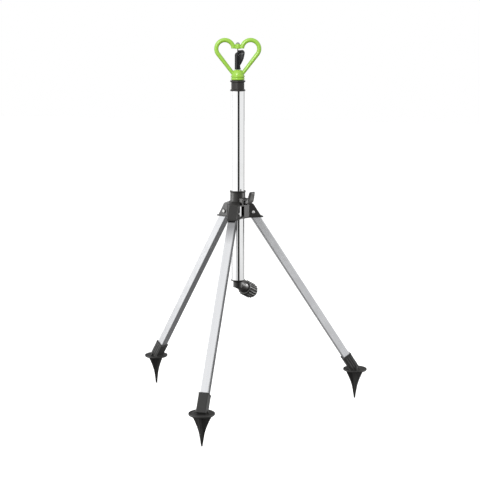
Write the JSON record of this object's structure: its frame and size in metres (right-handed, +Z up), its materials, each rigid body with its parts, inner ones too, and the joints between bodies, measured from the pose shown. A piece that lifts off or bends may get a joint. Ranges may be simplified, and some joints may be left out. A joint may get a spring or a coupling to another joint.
{
  "type": "garden tripod sprinkler",
  "caption": "Free-standing garden sprinkler: folding tripod with ground spikes, height-adjustable riser, hose inlet elbow and heart-shaped spinning head.",
  "frame": {"origin": "on the ground under the riser's axis, level with the three spike tips", "axes": "+Z up along the riser; -Y from the riser towards the front leg, +X to its right"},
  "size_m": [0.4668, 0.4106, 0.7118],
  "materials": {
    "head_plastic": "satin moulded, lightly grained",
    "lever_plastic": "satin moulded",
    "foot_plastic": "satin moulded",
    "fitting_plastic": "satin moulded",
    "nut_plastic": "semi-gloss moulded",
    "rotor_plastic": "semi-gloss moulded",
    "nozzle_plastic": "semi-gloss moulded",
    "green_plastic": "bright moulded, semi-gloss",
    "cap_grey": "satin",
    "leg_aluminium": "satin anodised, extruded",
    "riser_chrome": "bright polished tube",
    "pin_steel": "bright zinc plated",
    "seal_rubber": "matt"
  },
  "bodies": {
    "tripod_head": {"tripod_head": "head_plastic", "lever_pin": "pin_steel", "clamp_pad": "seal_rubber", "pivot_rivets": "pin_steel", "pivot_washers": "pin_steel"},
    "riser": {"riser_tube": "riser_chrome", "top_adapter": "fitting_plastic", "adapter_seal": "seal_rubber", "sprinkler_frame": "green_plastic", "frame_gasket": "seal_rubber", "nozzle": "nozzle_plastic", "rotor_spindle": "pin_steel", "spindle_cap": "cap_grey", "inlet_elbow": "fitting_plastic", "elbow_seal": "seal_rubber"},
    "rotor": {"rotor": "rotor_plastic"},
    "hose_nut": {"hose_nut": "nut_plastic", "inlet_washer": "seal_rubber"},
    "clamp_lever": {"clamp_lever": "lever_plastic"},
    "front_leg": {"front_leg_tube": "leg_aluminium", "front_leg_plug": "head_plastic", "front_foot_spike": "foot_plastic"},
    "right_leg": {"right_leg_tube": "leg_aluminium", "right_leg_plug": "head_plastic", "right_foot_spike": "foot_plastic"},
    "left_leg": {"left_leg_tube": "leg_aluminium", "left_leg_plug": "head_plastic", "left_foot_spike": "foot_plastic"}
  },
  "joints": [
    {"name": "front_leg_fold", "type": "hinge", "parent": "tripod_head", "child": "front_leg", "pos_m": [0, -0.028, 0.38497], "axis": [1, 0, 0], "range_deg": [0, 31]},
    {"name": "right_leg_fold", "type": "hinge", "parent": "tripod_head", "child": "right_leg", "pos_m": [0.02425, 0.014, 0.38497], "axis": [-0.5, 0.866, 0], "range_deg": [0, 31]},
    {"name": "left_leg_fold", "type": "hinge", "parent": "tripod_head", "child": "left_leg", "pos_m": [-0.02425, 0.014, 0.38497], "axis": [-0.5, -0.866, 0], "range_deg": [0, 31]},
    {"name": "riser_slide", "type": "slide", "parent": "tripod_head", "child": "riser", "axis": [0, 0, 1], "range_m": [-0.185, 0.115]},
    {"name": "clamp_lever_open", "type": "hinge", "parent": "tripod_head", "child": "clamp_lever", "pos_m": [0.01689, -0.00975, 0.4085], "axis": [0.5, 0.866, 0], "range_deg": [0, 45]},
    {"name": "rotor_spin", "type": "hinge", "parent": "riser", "child": "rotor", "pos_m": [0, 0, 0.67], "axis": [0, 0, 1], "continuous": true},
    {"name": "hose_nut_spin", "type": "hinge", "parent": "riser", "child": "hose_nut", "pos_m": [0.00759, 0.0357, 0.23038], "axis": [0.1921, 0.9037, -0.3827], "continuous": true}
  ]
}
